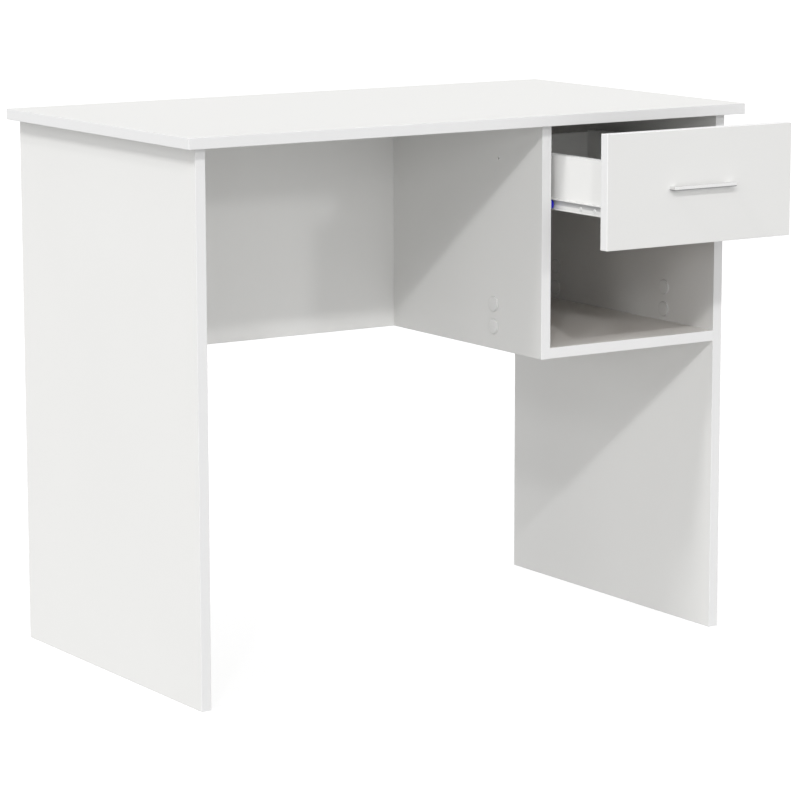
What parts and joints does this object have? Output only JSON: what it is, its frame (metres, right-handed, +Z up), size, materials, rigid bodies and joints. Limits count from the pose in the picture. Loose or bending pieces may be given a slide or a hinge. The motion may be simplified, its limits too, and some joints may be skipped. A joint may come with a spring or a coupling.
{
  "type": "writing desk",
  "caption": "Small white writing desk: board sides, modesty panel and a hanging cabinet with a roller-runner drawer over an open compartment.",
  "frame": {"origin": "on the floor, at the centre of the whole object's box with the drawer standing 131.6 mm open, as modelled; the worktop's centre is 70 mm behind it", "axes": "+X to the right along the worktop's long side as seen by the person sitting at it, +Y from the sitter to the back, +Z up"},
  "size_m": [0.9, 0.6492, 0.7565],
  "materials": {
    "white_board": "melamine-faced particle board, matt white, fine grain",
    "white_hardboard": "lacquered thin fibreboard",
    "white_enamelled_steel": "epoxy coated sheet steel",
    "blue_nylon": "moulded nylon",
    "zinc_plated_steel": "bright zinc plated",
    "zinc_die_casting": "raw die casting",
    "brushed_chrome_handle": "satin chrome plated",
    "white_cap_plastic": "moulded, satin",
    "beech_dowel": "plain beech"
  },
  "bodies": {
    "carcass": {"worktop": "white_board", "left_side_panel": "white_board", "right_side_panel": "white_board", "divider_panel": "white_board", "modesty_panel": "white_board", "compartment_floor": "white_board", "compartment_back_panel": "white_board", "cabinet_runner_left": "white_enamelled_steel", "cabinet_runner_right": "white_enamelled_steel", "front_roller_axle_left": "zinc_plated_steel", "front_roller_axle_right": "zinc_plated_steel", "cabinet_runner_screws": "zinc_plated_steel", "carcass_cam_bolts": "zinc_plated_steel", "carcass_cam_locks": "zinc_die_casting", "wooden_dowels": "beech_dowel", "cover_caps_divider_left": "white_cap_plastic", "cover_caps_divider_right": "white_cap_plastic", "cover_caps_side_panel": "white_cap_plastic"},
    "drawer": {"drawer_front": "white_board", "drawer_left_side": "white_board", "drawer_right_side": "white_board", "drawer_back": "white_board", "drawer_bottom": "white_hardboard", "drawer_handle": "brushed_chrome_handle", "handle_screws": "zinc_plated_steel", "drawer_runner_left": "white_enamelled_steel", "drawer_runner_right": "white_enamelled_steel", "drawer_runner_screws": "zinc_plated_steel", "rear_roller_axle_left": "zinc_plated_steel", "rear_roller_axle_right": "zinc_plated_steel", "drawer_cam_bolts": "zinc_plated_steel", "drawer_cam_locks": "zinc_die_casting", "drawer_back_screws": "zinc_plated_steel"},
    "roller_front_left": {"front_roller_left": "blue_nylon"},
    "roller_front_right": {"front_roller_right": "blue_nylon"},
    "roller_rear_left": {"rear_roller_left": "blue_nylon"},
    "roller_rear_right": {"rear_roller_right": "blue_nylon"}
  },
  "joints": [
    {"name": "drawer_slide", "type": "slide", "parent": "carcass", "child": "drawer", "axis": [0, -1, 0], "range_m": [-0.1316, 0.1684]},
    {"name": "front_left_roller_spin", "type": "hinge", "parent": "carcass", "child": "roller_front_left", "pos_m": [0.1347, -0.15445, 0.6312], "axis": [1, 0, 0], "continuous": true},
    {"name": "front_right_roller_spin", "type": "hinge", "parent": "carcass", "child": "roller_front_right", "pos_m": [0.4093, -0.15445, 0.6312], "axis": [1, 0, 0], "continuous": true},
    {"name": "rear_left_roller_spin", "type": "hinge", "parent": "drawer", "child": "roller_rear_left", "pos_m": [0.135, 0.09625, 0.6312], "axis": [1, 0, 0], "continuous": true},
    {"name": "rear_right_roller_spin", "type": "hinge", "parent": "drawer", "child": "roller_rear_right", "pos_m": [0.409, 0.09625, 0.6312], "axis": [1, 0, 0], "continuous": true}
  ],
  "couplings": [
    {"joint": "front_left_roller_spin", "follows": "drawer_slide", "rad_per_m": 161.29},
    {"joint": "front_right_roller_spin", "follows": "drawer_slide", "rad_per_m": 161.29},
    {"joint": "rear_left_roller_spin", "follows": "drawer_slide", "rad_per_m": 161.29},
    {"joint": "rear_right_roller_spin", "follows": "drawer_slide", "rad_per_m": 161.29}
  ]
}
